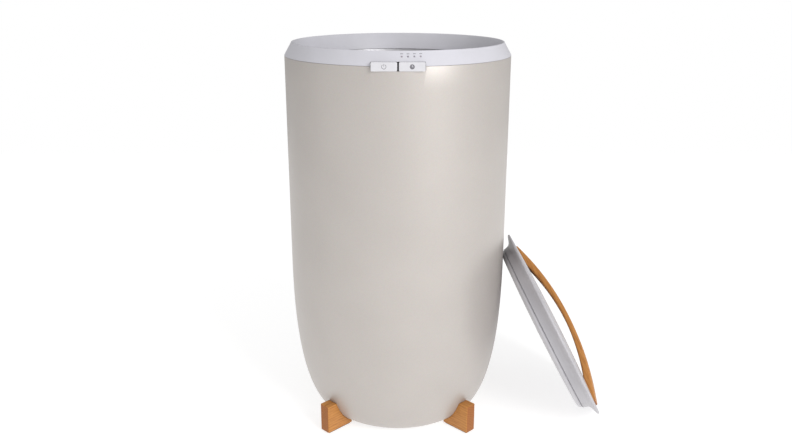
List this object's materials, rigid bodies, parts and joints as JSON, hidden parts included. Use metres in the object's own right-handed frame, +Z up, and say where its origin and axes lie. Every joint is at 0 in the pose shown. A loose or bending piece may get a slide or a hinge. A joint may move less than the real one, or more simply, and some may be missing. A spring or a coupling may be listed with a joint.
{
  "type": "towel warmer bucket",
  "caption": "Round bucket towel warmer on wooden feet, with a sloping rim, two touch keys and a lid with a bowed wooden handle leaning on it.",
  "frame": {"origin": "the body's vertical axis, on the plane of the feet's undersides", "axes": "+Z up, -Y towards the keys at the front, +X towards the side where the lid leans"},
  "size_m": [0.4427, 0.3045, 0.528],
  "materials": {
    "shell_paint": "satin pearl paint on moulded ABS",
    "ring_plastic": "satin moulded ABS",
    "key_plastic": "semi-gloss moulded ABS",
    "key_dark": "matt black moulding",
    "bucket_metal": "anodised sheet",
    "silicone": "matt silicone",
    "pad_rubber": "matt rubber",
    "heater_foil": "heating wire under foil",
    "felt": "needled insulation felt",
    "thermostat_metal": "plain can",
    "fuse_brass": "plain can",
    "cover_plastic": "moulded PP",
    "board": "solder mask",
    "relay_plastic": "moulded case",
    "transformer": "taped winding",
    "capacitor": "sleeved can",
    "terminal": "moulded block",
    "light_pipe": "clear polycarbonate",
    "screw_steel": "zinc plated",
    "gland_plastic": "moulded nylon",
    "wire_pvc": "PVC insulation",
    "oak": "oiled rubberwood",
    "lid_plastic": "satin moulded ABS",
    "pan_plastic": "satin moulded ABS"
  },
  "bodies": {
    "bucket": {"outer_shell": "shell_paint", "rim_ring": "ring_plastic", "inner_bucket": "bucket_metal", "bucket_gasket": "silicone", "heater_wrap": "heater_foil", "insulation_sleeve": "felt", "insulation_disc": "felt", "thermostat": "thermostat_metal", "thermal_fuse": "fuse_brass", "base_cover": "cover_plastic", "base_screws": "screw_steel", "control_board": "board", "board_relay": "relay_plastic", "board_transformer": "transformer", "board_capacitor": "capacitor", "terminal_block": "terminal", "board_screws": "screw_steel", "display_board": "board", "tact_switches": "key_dark", "led_lenses": "light_pipe", "key_frame": "key_dark", "rim_screws": "screw_steel", "cord_gland": "gland_plastic", "gland_nut": "gland_plastic", "mains_wires": "wire_pvc", "heater_wires": "wire_pvc", "display_cable": "wire_pvc", "foot_front_left": "oak", "foot_front_right": "oak", "foot_rear_left": "oak", "foot_rear_right": "oak", "foot_pads": "pad_rubber", "grip_ring": "pad_rubber", "foot_screws": "screw_steel"},
    "power_key": {"power_button": "key_plastic"},
    "timer_key": {"timer_button": "key_plastic"},
    "lid": {"lid_top": "lid_plastic", "lid_pan": "pan_plastic", "lid_seal": "silicone", "lid_insulation": "felt", "lid_handle": "oak", "handle_screws": "screw_steel"}
  },
  "joints": [
    {"name": "power_press", "type": "slide", "parent": "bucket", "child": "power_key", "axis": [0, 1, 0], "range_m": [0, 0.001], "stiffness_N_per_m": 600},
    {"name": "timer_press", "type": "slide", "parent": "bucket", "child": "timer_key", "axis": [0, 1, 0], "range_m": [0, 0.001], "stiffness_N_per_m": 600},
    {"name": "lid_lift", "type": "slide", "parent": "bucket", "child": "lid", "axis": [0.8867, 0.0217, 0.4617], "range_m": [0, 0.25]}
  ]
}
